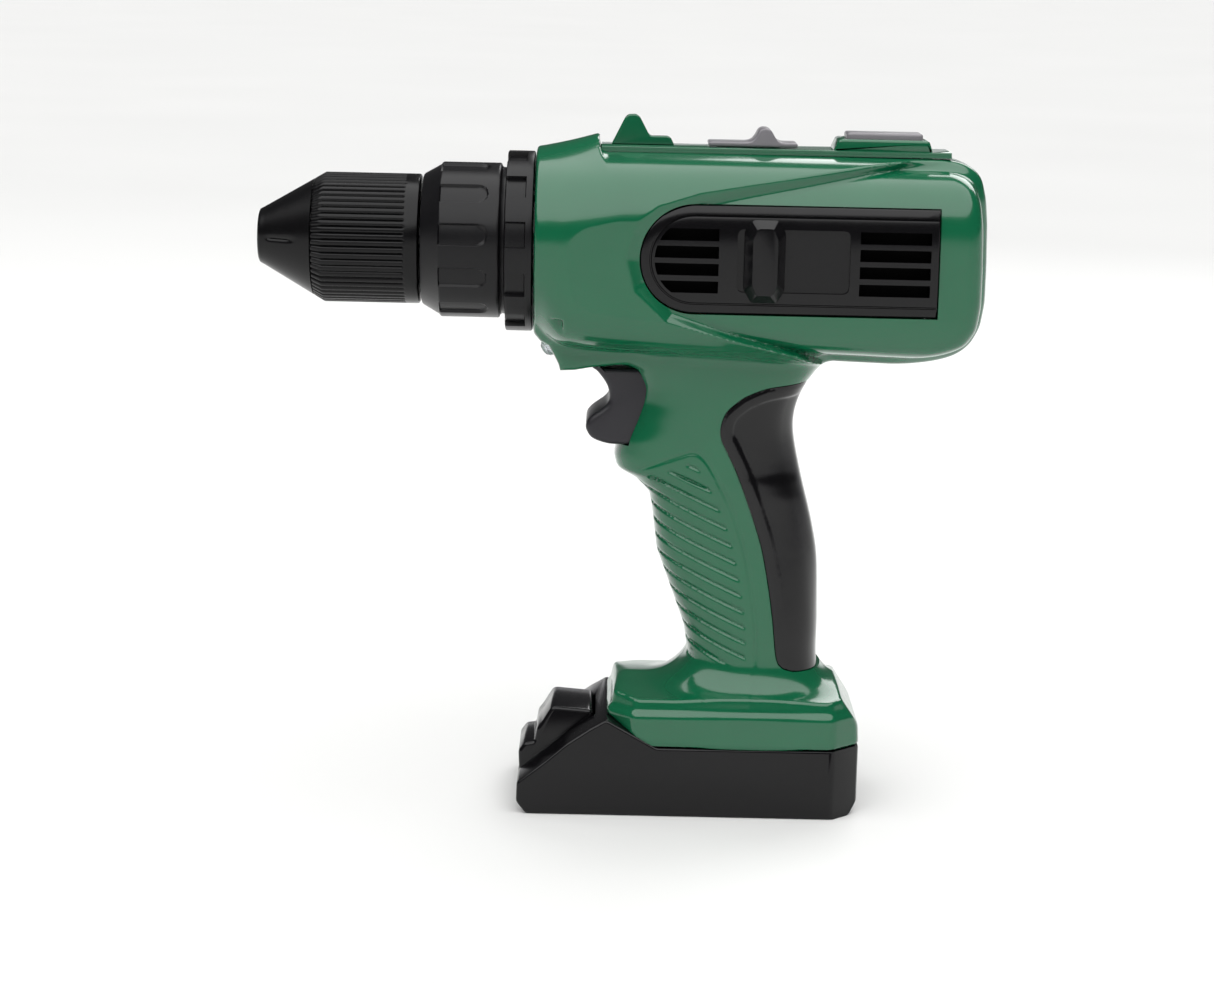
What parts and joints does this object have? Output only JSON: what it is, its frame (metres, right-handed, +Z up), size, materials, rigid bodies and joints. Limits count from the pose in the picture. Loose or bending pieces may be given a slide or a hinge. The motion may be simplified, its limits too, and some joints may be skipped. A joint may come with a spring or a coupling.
{
  "type": "toy power drill",
  "caption": "Toy cordless drill with a geared turning chuck, click collar, sprung trigger, sliding switches and a battery foot it stands on.",
  "frame": {"origin": "on the stand face, on the joint plane of the housing halves, under the handle", "axes": "+X from the chuck to the back of the barrel, +Z up from the stand face to the barrel, Y across the drill"},
  "size_m": [0.2073, 0.0614, 0.1993],
  "materials": {
    "green_plastic": "glossy moulded plastic, dark green",
    "black_plastic": "glossy moulded plastic, black",
    "grip_plastic": "semi-gloss moulded plastic, black",
    "grey_plastic": "satin moulded plastic, grey",
    "white_nylon": "waxy nylon, off-white",
    "amber_plastic": "satin moulded plastic, amber",
    "steel": "bright zinc plated steel",
    "bronze": "sintered bronze",
    "clear_plastic": "clear moulded plastic",
    "satin_black": "satin plastic, black",
    "circuit_board": "lacquered circuit board",
    "red_lead": "soft insulated wire, red",
    "cell_jacket": "printed cell jacket with no marks"
  },
  "bodies": {
    "housing": {"left_shell": "green_plastic", "right_shell": "green_plastic", "top_rail": "green_plastic", "left_vent_panel": "black_plastic", "right_vent_panel": "black_plastic", "battery_case": "black_plastic", "battery_cover": "black_plastic", "latch_block": "black_plastic", "rear_grip": "grip_plastic", "motor_end_cap": "white_nylon", "gearbox_case": "amber_plastic", "gearbox_cover": "amber_plastic", "idler_axle": "steel", "motor_can": "steel", "housing_screw_1": "steel", "housing_screw_2": "steel", "housing_screw_3": "steel", "housing_screw_4": "steel", "housing_screw_5": "steel", "housing_screw_6": "steel", "housing_screw_7": "steel", "housing_screw_8": "steel", "battery_cover_screw": "steel", "trigger_spring": "steel", "button_spring": "steel", "contact_spring_1": "steel", "contact_spring_2": "steel", "contact_terminal_1": "steel", "contact_terminal_2": "steel", "contact_bridge": "steel", "front_bushing": "bronze", "rear_bushing": "bronze", "led_lens": "clear_plastic", "led": "white_nylon", "trigger_switch": "satin_black", "effects_switch": "satin_black", "speaker": "satin_black", "circuit_board": "circuit_board", "battery_lead_1": "red_lead", "battery_lead_2": "satin_black", "aa_cell_1": "cell_jacket", "aa_cell_2": "cell_jacket"},
    "chuck": {"nose_cone": "black_plastic", "bit_holder": "steel", "chuck_sleeve": "black_plastic", "drive_shaft": "steel", "output_gear": "white_nylon"},
    "idler": {"idler_gear": "white_nylon"},
    "rotor": {"motor_rotor": "steel", "motor_pinion": "white_nylon"},
    "collar": {"torque_collar": "black_plastic"},
    "trigger_body": {"trigger": "black_plastic"},
    "speed_switch": {"speed_slider": "grey_plastic"},
    "effects_key": {"effects_button": "grey_plastic"},
    "direction_switch": {"direction_slider": "black_plastic"}
  },
  "joints": [
    {"name": "chuck_spin", "type": "hinge", "parent": "housing", "child": "chuck", "pos_m": [0, 0, 0.1625], "axis": [1, 0, 0], "continuous": true},
    {"name": "idler_spin", "type": "hinge", "parent": "housing", "child": "idler", "pos_m": [0, 0, 0.1475], "axis": [1, 0, 0], "continuous": true},
    {"name": "motor_spin", "type": "hinge", "parent": "housing", "child": "rotor", "pos_m": [0, 0, 0.1625], "axis": [1, 0, 0], "continuous": true},
    {"name": "collar_turn", "type": "hinge", "parent": "housing", "child": "collar", "pos_m": [0, 0, 0.1625], "axis": [1, 0, 0], "range_deg": [-150, 150]},
    {"name": "trigger_pull", "type": "slide", "parent": "housing", "child": "trigger_body", "axis": [1, 0, 0], "range_m": [0, 0.005], "stiffness_N_per_m": 250, "springref_m": -0.002, "deforming": ["trigger_spring"]},
    {"name": "button_press", "type": "slide", "parent": "housing", "child": "effects_key", "axis": [0, 0, -1], "range_m": [0, 0.001], "stiffness_N_per_m": 600, "springref_m": -0.0005, "deforming": ["button_spring"]},
    {"name": "speed_slide", "type": "slide", "parent": "housing", "child": "speed_switch", "axis": [1, 0, 0], "range_m": [0, 0.006]},
    {"name": "direction_slide", "type": "slide", "parent": "housing", "child": "direction_switch", "axis": [1, 0, 0], "range_m": [0, 0.012]}
  ],
  "couplings": [
    {"joint": "idler_spin", "follows": "chuck_spin", "ratio": -3},
    {"joint": "motor_spin", "follows": "chuck_spin", "ratio": 9}
  ]
}
